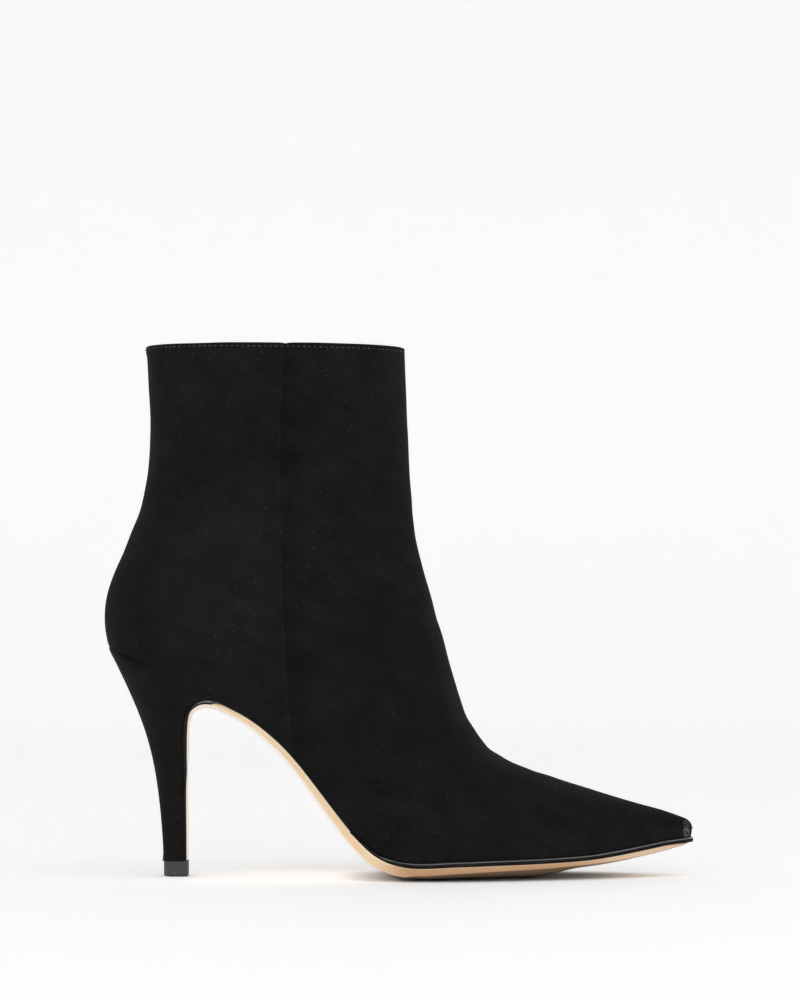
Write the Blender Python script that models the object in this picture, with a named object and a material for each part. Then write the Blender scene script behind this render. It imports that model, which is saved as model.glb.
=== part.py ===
"""A right-foot ankle boot: pointed toe, straight shaft, stiletto heel and leather outsole.

The last is lofted from a table of sections, and every other piece is read from the same sections.
Sizes are in millimetres until a mesh is written in metres. X runs from the back of the heel to the
toe, -Y is the outer side of the foot, +Z is up and the floor is at zero.
"""

import math
from collections import namedtuple

import bmesh
import bpy
import numpy as np

MM = 0.001

# Driving sizes of the boot.
LENGTH = 246.2
BALL_WIDTH = 72.8
HEEL_HEIGHT = 96.2
BOOT_HEIGHT = 222.2
SEAT_SLOPE = 0.484

# Thicknesses and the clearance between neighbouring pieces.
WALL = 1.8
GAP = 0.3
WELT_HEIGHT = 1.3
INSOLE_RISE = 2.0

# The welt stands proud of the upper, and fades out where the waist begins.
WELT_PROUD = 0.4
WELT_BULGE = 0.7
WELT_FADE_END = 0.41
WELT_FADE_START = 0.49
WELT_THINNEST = 0.15

# How finely the sections are cut.
SIDE_POINTS = 18
HEEL_SIDE_POINTS = 11
CURVE_SAMPLES = 40
MERGE_WITHIN = 0.0003
TINY = 1e-9

# Sections of the last, toe to collar. Each runs from the sole or back line to the top or front
# line. Lengths are shares of LENGTH, sole heights shares of HEEL_HEIGHT, top heights shares of
# BOOT_HEIGHT, half widths shares of BALL_WIDTH. The tuck is the half width at the sole as a share
# of the widest. The swing leans the section to the inner side, in millimetres.
Section = namedtuple(
    "Section",
    "cuts sole_x sole_z top_x top_z lateral medial tuck_lat tuck_med widest belly ridge swing",
)
FOOT = {
    "prow": Section(1, 1.001, 0.169, 1.003, 0.090, 0.000, 0.000, 0.96, 0.96, 0.40, 2.6, 2.6, 3.5),
    "nose": Section(1, 0.999, 0.168, 1.001, 0.099, 0.040, 0.040, 0.96, 0.96, 0.40, 2.6, 2.6, 3.5),
    "cheek": Section(1, 0.994, 0.167, 0.994, 0.106, 0.066, 0.066, 0.95, 0.95, 0.40, 2.6, 2.5, 3.5),
    "corner": Section(2, 0.984, 0.164, 0.981, 0.112, 0.080, 0.080, 0.94, 0.94, 0.40, 2.5, 2.4, 3.4),
    "toe": Section(2, 0.951, 0.155, 0.947, 0.125, 0.132, 0.124, 0.92, 0.92, 0.37, 2.4, 2.1, 2.9),
    "box": Section(2, 0.898, 0.131, 0.894, 0.141, 0.209, 0.193, 0.91, 0.91, 0.34, 2.4, 2.0, 2.0),
    "vamp": Section(2, 0.828, 0.105, 0.824, 0.165, 0.305, 0.280, 0.90, 0.90, 0.32, 2.3, 2.0, 0.9),
    "crown": Section(2, 0.747, 0.094, 0.747, 0.193, 0.401, 0.371, 0.91, 0.90, 0.30, 2.3, 1.9, 0.0),
    "tread": Section(2, 0.665, 0.089, 0.682, 0.221, 0.475, 0.448, 0.92, 0.90, 0.30, 2.3, 1.9, -0.5),
    "ball": Section(2, 0.584, 0.083, 0.641, 0.260, 0.516, 0.484, 0.91, 0.89, 0.29, 2.3, 1.9, -0.8),
    "throat": Section(2, 0.515, 0.081, 0.6175, 0.302, 0.516, 0.473, 0.89, 0.83, 0.29, 2.3, 1.9, -0.8),
    "instep": Section(2, 0.454, 0.135, 0.6025, 0.347, 0.492, 0.451, 0.84, 0.75, 0.30, 2.2, 1.9, -0.6),
    "arch": Section(2, 0.392, 0.307, 0.588, 0.403, 0.459, 0.431, 0.80, 0.68, 0.31, 2.2, 1.9, -0.4),
    "waist": Section(2, 0.327, 0.520, 0.573, 0.464, 0.434, 0.418, 0.78, 0.67, 0.31, 2.2, 1.9, -0.2),
    "shank": Section(2, 0.258, 0.682, 0.560, 0.514, 0.418, 0.409, 0.80, 0.72, 0.31, 2.2, 2.0, 0.0),
    "seat": Section(2, 0.185, None, 0.5485, 0.558, 0.407, 0.404, 0.83, 0.80, 0.31, 2.2, 2.0, 0.0),
    "heel": Section(2, 0.107, None, 0.538, 0.601, 0.400, 0.400, 0.84, 0.84, 0.31, 2.2, 2.0, 0.0),
    "round": Section(2, 0.057, None, 0.531, 0.635, 0.395, 0.395, 0.73, 0.73, 0.31, 2.2, 2.1, 0.0),
    "turn": Section(2, 0.020, None, 0.5275, 0.662, 0.391, 0.391, 0.42, 0.42, 0.32, 2.2, 2.1, 0.0),
    "back": Section(2, 0.0065, None, 0.525, 0.686, 0.387, 0.387, 0.00, 0.00, 0.33, 2.2, 2.1, 0.0),
}
LEG = {
    "bulge": Section(2, 0.000, 1.117, 0.5235, 0.713, 0.382, 0.382, 0.00, 0.00, 0.34, 2.2, 2.1, 0.0),
    "counter": Section(2, 0.008, 1.263, 0.521, 0.745, 0.379, 0.379, 0.00, 0.00, 0.36, 2.2, 2.2, 0.0),
    "tendon": Section(2, 0.040, 1.460, 0.519, 0.784, 0.382, 0.382, 0.00, 0.00, 0.39, 2.2, 2.2, 0.0),
    "ankle": Section(2, 0.067, 1.653, 0.5175, 0.828, 0.393, 0.393, 0.00, 0.00, 0.42, 2.3, 2.3, 0.0),
    "shaft": Section(4, 0.078, 1.913, 0.5145, 0.891, 0.411, 0.411, 0.00, 0.00, 0.45, 2.3, 2.3, 0.0),
    "collar": Section(1, 0.072, 2.302, 0.511, 0.995, 0.434, 0.434, 0.00, 0.00, 0.47, 2.3, 2.3, 0.0),
}

# Outsole along the last: thickness at its middle and at its edge, and how far it stands out.
Sole = namedtuple("Sole", "along middle edge margin")
SOLE = [
    Sole(0.258, 4.0, 1.9, -0.8),
    Sole(0.327, 4.2, 2.2, -0.8),
    Sole(0.392, 4.7, 2.7, -0.5),
    Sole(0.454, 5.3, 3.3, 0.2),
    Sole(0.515, 6.0, 3.8, 0.8),
    Sole(0.584, 6.9, 3.4, 0.8),
    Sole(0.665, 7.1, 3.1, 0.8),
    Sole(0.747, 7.0, 2.8, 0.8),
    Sole(0.788, 4.4, 2.6, 0.7),
    Sole(0.828, 3.2, 2.5, 0.7),
    Sole(0.951, 2.6, 2.4, 0.5),
    Sole(0.984, 1.7, 1.6, -0.4),
    Sole(1.000, 1.0, 1.0, -1.6),
]
SOLE_SPREAD = (1.0, 0.8, 0.45, 0.0, -0.45, -0.8, -1.0)
SOLE_BELLY = 2.5
SOLE_LAST_ROW = "shank"

# Heel and the flap of outsole down its front, top to bottom. Lengths are millimetres from the
# back of the boot, heights from the floor. The breast columns trace the heel side of the flap,
# which is thicker by its belly along the middle.
Heel = namedtuple("Heel", "back_x back_z breast_x breast_z half_width flap_half flap belly")
FLAP_ONLY = [
    Heel(None, None, 57.2, 68.9, None, 22.6, 1.9, 1.9),
    Heel(None, None, 52.8, 71.1, None, 22.4, 1.6, 2.2),
    Heel(None, None, 48.3, 73.1, None, 22.0, 1.4, 2.4),
]
HEEL = [
    Heel(2.3, 94.6, 43.8, 73.7, 23.6, 21.4, 1.2, 2.3),
    Heel(3.7, 91.6, 39.5, 72.4, 22.4, 20.2, 1.0, 1.7),
    Heel(5.8, 87.4, 36.2, 69.5, 20.6, 18.6, 1.0, 0.9),
    Heel(8.4, 82.0, 34.6, 65.2, 18.4, 16.6, 1.0, 0.4),
    Heel(12.2, 73.9, 34.1, 58.5, 15.4, 13.9, 1.0, 0.1),
    Heel(17.2, 60.3, 34.0, 49.0, 11.9, 10.7, 1.0, 0.0),
    Heel(20.8, 46.0, 34.0, 38.5, 9.1, 8.1, 1.0, 0.0),
    Heel(23.0, 31.0, 34.0, 27.0, 7.0, 6.2, 1.0, 0.0),
    Heel(24.2, 17.0, 34.0, 15.5, 5.9, 5.2, 1.0, 0.0),
    Heel(24.6, 8.6, 34.0, 8.2, 5.6, 4.9, 1.0, 0.0),
    Heel(24.3, 6.5, 34.0, 6.5, 5.9, 5.0, 1.0, 0.0),
]
HEEL_TOP_INSET = 0.5
HEEL_LIP_X = 47.6
HEEL_BACK_ROUND = 2.1
HEEL_FRONT_SQUARE = 10.0
HEEL_WIDEST = 0.55

# Rubber tip under the heel.
TIP_BACK_X = 24.9
TIP_FRONT_X = 35.2
TIP_HALF_WIDTH = 5.4
TIP_EDGE_ROUND = 0.5

# The insole stops short of the toe and of the turn at the back.
INSOLE_CLEAR = 0.4
INSOLE_FIRST = "corner"


def seat_height(along):
    """Height of the heel seat, a slope that starts at the back edge."""
    from_back = (along - FOOT["back"].sole_x) * LENGTH
    return HEEL_HEIGHT - SEAT_SLOPE * from_back


def sized(row):
    """A table row in millimetres."""
    sole_z = seat_height(row.sole_x) if row.sole_z is None else row.sole_z * HEEL_HEIGHT
    return row._replace(
        sole_x=row.sole_x * LENGTH,
        sole_z=sole_z,
        top_x=row.top_x * LENGTH,
        top_z=row.top_z * BOOT_HEIGHT,
        lateral=row.lateral * BALL_WIDTH,
        medial=row.medial * BALL_WIDTH,
    )


def between(rows, corner):
    """The rows with further sections between them, on a cubic that passes through every row.

    At the back of the seat the sole edge has come round to the middle: the sole line stops there
    and the back line sets off upwards, so the slopes on the two sides of that row differ.
    """
    values = np.array(rows, float)
    leave = np.gradient(values, axis=0)
    arrive = leave.copy()
    for name in ("sole_x", "sole_z", "tuck_lat", "tuck_med"):
        column = Section._fields.index(name)
        leave[corner, column] = values[corner + 1, column] - values[corner, column]
        closing = name.startswith("tuck")
        arrive[corner, column] = -values[corner - 1, column] if closing else 0.0
    dense = []
    for index in range(len(rows) - 1):
        start, end = values[index], values[index + 1]
        cuts = int(rows[index].cuts)
        for t in np.arange(cuts) / cuts:
            ease = t * t * (3 - 2 * t)
            bow = leave[index] * t * (1 - t) ** 2 - arrive[index + 1] * t * t * (1 - t)
            dense.append(Section(*(start + (end - start) * ease + bow)))
    dense.append(rows[-1])
    return dense


def half_outline(height, width, tuck, widest, belly, ridge, count):
    """One side of a section as (height, half width) pairs, from its foot to its ridge.

    Two quarters of a rounded curve meet at the widest point. The lower one is cut off where the
    half width is the tuck. Points crowd together where the curve turns.
    """
    reach = widest * height
    quarter = np.linspace(0.0, math.pi / 2, CURVE_SAMPLES)
    heights = reach + (height - reach) * np.sin(quarter) ** (2 / ridge)
    widths = width * np.cos(quarter) ** (2 / ridge)
    depth = reach / max(1 - tuck ** belly, TINY) ** (1 / belly)
    first = math.asin(min(tuck ** (belly / 2), 1.0))
    lower = np.linspace(first, math.pi / 2, CURVE_SAMPLES)[:-1]
    heights = np.concatenate([reach - depth * np.cos(lower) ** (2 / belly), heights])
    widths = np.concatenate([width * np.sin(lower) ** (2 / belly), widths])
    heights[0] = 0.0
    widths[-1] = 0.0
    step = np.hypot(np.diff(heights), np.diff(widths))
    heading = np.unwrap(np.arctan2(np.diff(heights), np.diff(widths)))
    turning = np.concatenate([[0.0], np.abs(np.diff(heading))])
    travel = step / step.sum() + turning / max(turning.sum(), TINY)
    travel = np.concatenate([[0.0], np.cumsum(travel)])
    stops = np.linspace(0.0, travel[-1], count + 1)
    return np.interp(stops, travel, heights), np.interp(stops, travel, widths)


def section_points(row):
    """Points of one section, from the outer edge of the sole over the ridge to the inner edge."""
    rise = np.array([row.top_x - row.sole_x, row.top_z - row.sole_z])
    height = np.linalg.norm(rise)
    rise /= height
    shape = (row.widest, row.belly, row.ridge, SIDE_POINTS)
    outer_h, outer_w = half_outline(height, row.lateral, row.tuck_lat, *shape)
    inner_h, inner_w = half_outline(height, row.medial, row.tuck_med, *shape)
    heights = np.concatenate([outer_h, inner_h[-2::-1]])
    offsets = np.concatenate([-outer_w, inner_w[-2::-1]])
    x = row.sole_x + rise[0] * heights
    z = row.sole_z + rise[1] * heights
    return np.stack([x, row.swing + offsets, z], axis=1)


def heel_ring(back, front, half_width):
    """A closed section of the heel or its tip: round at the back, square at the front."""
    length = np.linalg.norm(front - back)
    shape = (HEEL_WIDEST, HEEL_BACK_ROUND, HEEL_FRONT_SQUARE, HEEL_SIDE_POINTS)
    steps, widths = half_outline(length, half_width, 0.0, *shape)
    line = back + steps[:, None] * (front - back) / length
    aside = widths[:, None] * np.array([0.0, 1.0, 0.0])
    return np.concatenate([line - aside, (line + aside)[-2:0:-1]])


def unit(vectors):
    """Vectors of length one."""
    return vectors / np.linalg.norm(vectors, axis=-1, keepdims=True)


def downward(line):
    """Normals of a line in the X-Z plane that runs towards the heel, on its floor side."""
    along = np.gradient(line, axis=0)
    return unit(np.stack([-along[:, 2], np.zeros(len(line)), along[:, 0]], axis=1))


def shell_normals(grid, foot_count):
    """Outward normals of the lofted skin, shared where two edges of the grid meet."""
    along = np.gradient(grid, axis=0)
    across = np.gradient(grid, axis=1)
    wrapped = (grid[:, 1] - grid[:, -2]) / 2
    across[foot_count - 1:, 0] = wrapped[foot_count - 1:]
    across[foot_count - 1:, -1] = wrapped[foot_count - 1:]
    normals = np.cross(along, across)
    middle = grid.mean(axis=1, keepdims=True)
    if np.sum(normals * (grid - middle)) < 0:
        normals = -normals
    normals[0] += normals[0, ::-1] * np.array([1, -1, 1])
    normals[0, :, 1] = 0.0
    normals[0, SIDE_POINTS] = unit(normals[0, SIDE_POINTS - 1]) + unit(normals[1, SIDE_POINTS])
    normals = unit(normals)
    seam = unit(normals[foot_count:, 0] + normals[foot_count:, -1])
    normals[foot_count:, 0] = seam
    normals[foot_count:, -1] = seam
    return normals


def material(name, colour, roughness):
    """A plain coloured finish."""
    finish = bpy.data.materials.new(name)
    finish.use_nodes = True
    shader = finish.node_tree.nodes["Principled BSDF"]
    shader.inputs["Base Color"].default_value = (*colour, 1.0)
    shader.inputs["Roughness"].default_value = roughness
    finish.diffuse_color = (*colour, 1.0)
    return finish


def add_object(name, bm, finish):
    """Close and orient a mesh, and put it in the scene under the boot's frame."""
    bmesh.ops.recalc_face_normals(bm, faces=bm.faces)
    mesh = bpy.data.meshes.new(name)
    bm.to_mesh(mesh)
    bm.free()
    mesh.materials.append(finish)
    piece = bpy.data.objects.new(name, mesh)
    bpy.context.scene.collection.objects.link(piece)
    return piece


def add_grid(bm, grid, closed):
    """Faces between neighbouring rows of points; coincident points become one."""
    rows = [[bm.verts.new(point * MM) for point in row] for row in grid]
    for lower, upper in zip(rows, rows[1:]):
        count = len(lower)
        for here in range(count if closed else count - 1):
            there = (here + 1) % count
            bm.faces.new((lower[here], lower[there], upper[there], upper[here]))
    bmesh.ops.remove_doubles(bm, verts=bm.verts, dist=MERGE_WITHIN * MM)


def add_loft(name, rings, finish):
    """A solid through closed rings of points, with its two ends filled."""
    bm = bmesh.new()
    add_grid(bm, rings, closed=True)
    bmesh.ops.dissolve_degenerate(bm, edges=bm.edges, dist=MERGE_WITHIN * MM)
    open_edges = [edge for edge in bm.edges if edge.is_boundary]
    bmesh.ops.holes_fill(bm, edges=open_edges)
    return add_object(name, bm, finish)


for old in list(bpy.data.objects):
    bpy.data.objects.remove(old)

SUEDE = material("black suede", (0.012, 0.012, 0.012), 0.95)
GLOSS = material("polished edge", (0.010, 0.010, 0.010), 0.25)
TAN = material("tan leather", (0.55, 0.30, 0.14), 0.40)
BOARD = material("insole leather", (0.45, 0.33, 0.22), 0.70)
RUBBER = material("grey rubber", (0.06, 0.06, 0.06), 0.60)

# The last: sections of the foot, closed sections of the leg, and the edge that meets the sole.
table_rows = [sized(row) for row in [*FOOT.values(), *LEG.values()]]
last_rows = between(table_rows, corner=len(FOOT) - 1)
foot_count = 1 + sum(row.cuts for row in list(FOOT.values())[:-1])
foot_rows = last_rows[:foot_count]
skin = np.array([section_points(row) for row in last_rows])
sole_line = np.array([(row.sole_x, row.swing, row.sole_z) for row in foot_rows])
sole_down = downward(sole_line)

# Feather edge: forward along the outer side, round the toe and back along the inner side.
feather = np.concatenate([skin[foot_count - 1::-1, 0], skin[1:foot_count - 1, -1]])
feather_down = np.concatenate([sole_down[::-1], sole_down[1:-1]])
feather_along = (np.roll(feather, -1, axis=0) - np.roll(feather, 1, axis=0)) / 2
feather_out = unit(np.cross(feather_down, feather_along))
if np.sum(feather_out * (feather - feather.mean(axis=0))) < 0:
    feather_out = -feather_out
outward = {
    "outer": feather_out[foot_count - 1::-1],
    "inner": np.concatenate([feather_out[foot_count - 1:], feather_out[:1]]),
}
edge = {"outer": skin[:foot_count, 0], "inner": skin[:foot_count, -1]}

# Upper: the skin, and one wall further in its lining side, joined at the collar and underneath.
lining = skin - WALL * shell_normals(skin, foot_count)
lining[:foot_count, 0] = edge["outer"] - WALL * outward["outer"]
lining[:foot_count, -1] = edge["inner"] - WALL * outward["inner"]
collar_rise = unit(skin[-1, SIDE_POINTS] - skin[-1, 0])
collar_normal = np.array([-collar_rise[2], 0.0, collar_rise[0]])
collar_off = (lining[-1] - skin[-1]) @ collar_normal
lining[-1] -= collar_off[:, None] * collar_normal
upper_bm = bmesh.new()
add_grid(upper_bm, np.concatenate([skin, lining[::-1]]), closed=False)
bmesh.ops.bridge_loops(upper_bm, edges=[rim for rim in upper_bm.edges if rim.is_boundary])

# Behind the forefoot the sections lean over and the faces shear: each is split the short way.
forefoot = FOOT["crown"].sole_x * LENGTH * MM
sheared = [face for face in upper_bm.faces if face.calc_center_median().x < forefoot]
bmesh.ops.triangulate(upper_bm, faces=sheared, quad_method="SHORT_EDGE")
upper = add_object("upper", upper_bm, SUEDE)

# Room for the welt between the upper and the outsole, nothing behind the fade.
along_last = np.array([row.sole_x for row in foot_rows]) / LENGTH
fade = (along_last - WELT_FADE_END) / (WELT_FADE_START - WELT_FADE_END)
welt_room = np.clip(fade, 0.0, 1.0)

# Outsole: rings across the last, then across the flap that runs down the heel.
sole_along = [row.along for row in SOLE]
middle = np.interp(along_last, sole_along, [row.middle for row in SOLE])
rim_depth = np.interp(along_last, sole_along, [row.edge for row in SOLE])
margin = np.interp(along_last, sole_along, [row.margin for row in SOLE])
shank_x = FOOT[SOLE_LAST_ROW].sole_x * LENGTH
drop = GAP + (WELT_HEIGHT + GAP) * welt_room
outer_line = edge["outer"] + margin[:, None] * outward["outer"] + drop[:, None] * sole_down
inner_line = edge["inner"] + margin[:, None] * outward["inner"] + drop[:, None] * sole_down
on_last = np.array([row.sole_x > shank_x - GAP for row in foot_rows])
flap_rows = FLAP_ONLY + HEEL
flap_outer = np.array([(row.breast_x, -row.flap_half, row.breast_z) for row in flap_rows])
flap_inner = flap_outer * np.array([1, -1, 1])
outer_line = np.concatenate([outer_line[on_last], flap_outer])
inner_line = np.concatenate([inner_line[on_last], flap_inner])
middle = np.concatenate([middle[on_last], [row.flap + row.belly for row in flap_rows]])
rim_depth = np.concatenate([rim_depth[on_last], [row.flap for row in flap_rows]])
path = (outer_line + inner_line) / 2
path_down = downward(path)
path_down[-1] = (1.0, 0.0, 0.0)
sole_rings = []
for outer, inner, down, deep, shallow in zip(outer_line, inner_line, path_down, middle, rim_depth):
    ring = [outer, (outer + inner) / 2, inner]
    for spread in SOLE_SPREAD:
        depth = shallow + (deep - shallow) * (1 - abs(spread) ** SOLE_BELLY)
        point = (outer + inner) / 2 + (inner - outer) / 2 * spread + depth * down
        point[2] = max(point[2], 0.0)
        ring.append(point)
    sole_rings.append(ring)
outsole = add_loft("outsole", np.array(sole_rings), TAN)

# Welt: a strip under the edge of the upper, from the waist round the toe and back.
welt_rows = [i for i in range(foot_count) if welt_room[i] > WELT_THINNEST]
welt_path = [("outer", i) for i in reversed(welt_rows)] + [("inner", i) for i in welt_rows[1:]]
welt_rings = []
for side, i in welt_path:
    start = edge[side][i] + GAP * sole_down[i]
    end = start + WELT_HEIGHT * welt_room[i] * sole_down[i]
    out = outward[side][i]
    welt_rings.append([
        start - WALL * out,
        start + WELT_PROUD * out,
        (start + end) / 2 + WELT_BULGE * out,
        end + WELT_PROUD * out,
        end - WALL * out,
    ])
welt = add_loft("welt", np.array(welt_rings), GLOSS)

# Insole: a board that fills the edge of the upper, down to the outsole inside the welt.
insole_from = FOOT[INSOLE_FIRST].sole_x * LENGTH
insole_rings = []
for i in range(foot_count - 1):
    if foot_rows[i].sole_x > insole_from:
        continue
    inset = WALL + INSOLE_CLEAR
    outer = edge["outer"][i] - inset * outward["outer"][i]
    inner = edge["inner"][i] - inset * outward["inner"][i]
    lower = (WELT_HEIGHT + GAP) * welt_room[i] * sole_down[i]
    raise_by = -INSOLE_RISE * sole_down[i]
    insole_rings.append([outer + lower, inner + lower, inner + raise_by, outer + raise_by])
insole = add_loft("insole", np.array(insole_rings), BOARD)

# Heel: rounded sections from the seat to the tip, square at the front where the flap lies.
breast = np.array([(row.breast_x, 0.0, row.breast_z) for row in HEEL])
breast_down = path_down[-len(HEEL):]
heel_fronts = breast - GAP * breast_down
seat_normal = unit(np.array([SEAT_SLOPE, 0.0, 1.0]))
back_row = sized(FOOT["back"])
seat_back = np.array([back_row.sole_x + HEEL_TOP_INSET, 0.0, 0.0])
seat_back[2] = seat_height(seat_back[0] / LENGTH)
seat_front = np.array([HEEL_LIP_X, 0.0, seat_height(HEEL_LIP_X / LENGTH)])
seat_half = sized(FOOT["heel"]).lateral * FOOT["heel"].tuck_lat - HEEL_TOP_INSET
heel_rows = [(seat_back - GAP * seat_normal, seat_front - GAP * seat_normal, seat_half)]
for row, front in zip(HEEL, heel_fronts):
    heel_rows.append((np.array([row.back_x, 0.0, row.back_z]), front, row.half_width))
heel_rings = [heel_ring(*row) for row in heel_rows]
heel = add_loft("heel", np.array(heel_rings), SUEDE)

# Rubber tip: the heel's own section, with the edge that meets the floor rounded off.
tip_top = HEEL[-1].back_z - GAP
tip_rings = []
for height, inset in ((tip_top, 0.0), (TIP_EDGE_ROUND, 0.0), (0.0, TIP_EDGE_ROUND)):
    back = np.array([TIP_BACK_X + inset, 0.0, height])
    front = np.array([TIP_FRONT_X - inset, 0.0, height])
    tip_rings.append(heel_ring(back, front, TIP_HALF_WIDTH - inset))
top_piece = add_loft("top_piece", np.array(tip_rings), RUBBER)

# One frame for all: the middle of the boot's length and width, on the floor.
pieces = [upper, insole, welt, outsole, heel, top_piece]
corners = np.array([vert.co[:] for piece in pieces for vert in piece.data.vertices])
centre = (corners.min(axis=0) + corners.max(axis=0)) / 2
boot_frame = bpy.data.objects.new("boot_frame", None)
boot_frame.location = (-centre[0], -centre[1], 0.0)
bpy.context.scene.collection.objects.link(boot_frame)
for piece in pieces:
    piece.parent = boot_frame
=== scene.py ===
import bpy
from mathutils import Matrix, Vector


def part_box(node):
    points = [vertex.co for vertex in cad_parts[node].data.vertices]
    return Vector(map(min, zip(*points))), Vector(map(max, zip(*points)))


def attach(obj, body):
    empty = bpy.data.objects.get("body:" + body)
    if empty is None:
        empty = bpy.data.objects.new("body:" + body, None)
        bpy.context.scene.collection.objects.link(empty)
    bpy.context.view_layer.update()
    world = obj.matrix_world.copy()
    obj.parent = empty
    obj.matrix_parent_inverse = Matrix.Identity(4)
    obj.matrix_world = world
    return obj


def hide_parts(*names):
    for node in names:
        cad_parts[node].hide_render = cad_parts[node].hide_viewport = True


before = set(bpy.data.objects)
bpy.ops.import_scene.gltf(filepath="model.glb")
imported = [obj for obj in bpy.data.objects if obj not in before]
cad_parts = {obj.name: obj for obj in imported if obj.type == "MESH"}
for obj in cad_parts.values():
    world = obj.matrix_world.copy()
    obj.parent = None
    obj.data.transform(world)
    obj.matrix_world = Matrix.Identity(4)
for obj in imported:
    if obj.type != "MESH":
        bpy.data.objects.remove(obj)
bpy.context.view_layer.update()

import math
from collections import namedtuple

import bmesh
import bpy
import numpy as np
from mathutils import Matrix, Vector, noise
from mathutils.bvhtree import BVHTree

# Insole
# The board that the upper is pulled under, with a thin leather sock glued over it. It is cut to
# the foot's outline, closes the boot from below, and shows only through the collar.
MM = 0.001
WELD_WITHIN = 0.002 * MM
PAIR_BEND = math.radians(40)
PAIR_SKEW = math.radians(70)
CAGE_FITS = 3
LET_OUT = 0.3 * MM
SOCK_BEND = 50
SOCK_EDGE = 0.5 * MM
SOCK_PORE = 0.7 * MM
SOCK_DENT = 3 * MM
SOCK_PATCH = 14 * MM
SOCK_TAN = (0.46, 0.33, 0.21, 1)
SOCK_WORN = (0.35, 0.24, 0.15, 1)


def solid_copy(node):
    """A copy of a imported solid, welded, with its triangles paired into four-sided faces."""
    copy = bmesh.new()
    copy.from_mesh(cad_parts[node].data)
    bmesh.ops.remove_doubles(copy, verts=copy.verts, dist=WELD_WITHIN)
    bmesh.ops.join_triangles(
        copy, faces=copy.faces, angle_face_threshold=PAIR_BEND, angle_shape_threshold=PAIR_SKEW
    )
    return copy


def round_edges(shape, edges, width):
    """Rounds some edges of a shape over that width."""
    bmesh.ops.bevel(
        shape, geom=edges, offset=width, affect="EDGES", segments=2, profile=0.5, material=-1,
        clamp_overlap=True,
    )


def sharp_edges(shape, degrees):
    """The edges of a shape that bend by more than an angle."""
    return [edge for edge in shape.edges if edge.calc_face_angle(0.0) > math.radians(degrees)]


def point_array(mesh, count):
    """The first points of a mesh, a row for each."""
    places = np.empty(len(mesh.vertices) * 3)
    mesh.vertices.foreach_get("co", places)
    return places.reshape(-1, 3)[:count]


def divide(shape, times, let_out=LET_OUT):
    """Divides every face smoothly into four, that many times. Creased edges stay crisp.

    Dividing shrinks a shape, so its points are let out until the result passes where they were.
    """
    rough = bpy.data.meshes.new("rough")
    shape.to_mesh(rough)
    holder = bpy.data.objects.new("rough", rough)
    bpy.context.scene.collection.objects.link(holder)
    smoother = holder.modifiers.new("divide", "SUBSURF")
    smoother.levels = times
    smoother.render_levels = times
    aims = point_array(rough, None)
    cage = aims.copy()
    for _ in range(CAGE_FITS):
        divided = holder.evaluated_get(bpy.context.evaluated_depsgraph_get())
        cage += aims - point_array(divided.data, len(aims))
        cage = aims + np.clip(cage - aims, -let_out, let_out)
        rough.vertices.foreach_set("co", cage.ravel())
        rough.update()
    divided = holder.evaluated_get(bpy.context.evaluated_depsgraph_get())
    shape.clear()
    shape.from_mesh(divided.data)
    bpy.data.objects.remove(holder)
    bpy.data.meshes.remove(rough)


def add_piece(name, shape, *finishes):
    """Makes a smooth piece of a shape, at the origin."""
    mesh = bpy.data.meshes.new(name)
    shape.to_mesh(mesh)
    shape.free()
    mesh.shade_smooth()
    for finish in finishes:
        mesh.materials.append(finish)
    piece = bpy.data.objects.new(name, mesh)
    bpy.context.scene.collection.objects.link(piece)
    return piece


class Socket:
    """A socket of a finish. Sums on sockets add Math nodes, and node() adds any other node."""

    def __init__(self, tree, end=None):
        self.tree = tree
        self.end = end

    def feed(self, node, inputs):
        """Sets a node's inputs to values, or links them to sockets."""
        for name, value in inputs.items():
            if isinstance(value, Socket):
                self.tree.links.new(value.end, node.inputs[name])
            else:
                node.inputs[name].default_value = value

    def node(self, kind, settings, inputs, output=0):
        """Adds a node, sets it and feeds it, and returns one of its outputs."""
        node = self.tree.nodes.new(kind)
        for name, value in settings.items():
            setattr(node, name, value)
        self.feed(node, inputs)
        return Socket(self.tree, node.outputs[output])

    def sum(self, operation, first, second):
        """Adds a Math node for a sum on two values."""
        return self.node("ShaderNodeMath", {"operation": operation}, {0: first, 1: second})

    def __add__(self, other):
        return self.sum("ADD", self, other)

    __radd__ = __add__

    def __mul__(self, other):
        return self.sum("MULTIPLY", self, other)

    __rmul__ = __mul__

    def __sub__(self, other):
        return self.sum("SUBTRACT", self, other)

    def __rsub__(self, other):
        return self.sum("SUBTRACT", other, self)

    def rise(self, low, high):
        """0 up to low and 1 from high, with a soft step between."""
        inputs = {"Value": self, "From Min": low, "From Max": high}
        return self.node("ShaderNodeMapRange", {"interpolation_type": "SMOOTHSTEP"}, inputs)

    def tint(self, none, full):
        """The colour none where this is 0, and full where it is 1."""
        return self.node("ShaderNodeMix", {"data_type": "RGBA"}, {0: self, 6: none, 7: full}, 2)

    def relief(self, depth):
        """The surface's normal, if this is its height in parts of a depth."""
        return self.node("ShaderNodeBump", {}, {"Height": self, "Distance": depth, "Strength": 1.0})


def new_finish(name, fixed):
    """A material with its shader's fixed values, and the place on the piece to draw it by."""
    finish = bpy.data.materials.new(name)
    finish.use_nodes = True
    shader = finish.node_tree.nodes["Principled BSDF"]
    for socket, value in fixed.items():
        shader.inputs[socket].default_value = value
    place = Socket(finish.node_tree).node("ShaderNodeTexCoord", {}, {}, "Object")
    return finish, shader, place


def clouds(place, size, detail=2.0):
    """Soft random patches from 0 to 1, of a size along X, Y and Z."""
    spread = place.node("ShaderNodeVectorMath", {"operation": "DIVIDE"}, {0: place, 1: size})
    return place.node("ShaderNodeTexNoise", {}, {"Vector": spread, "Scale": 1.0, "Detail": detail})


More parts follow.
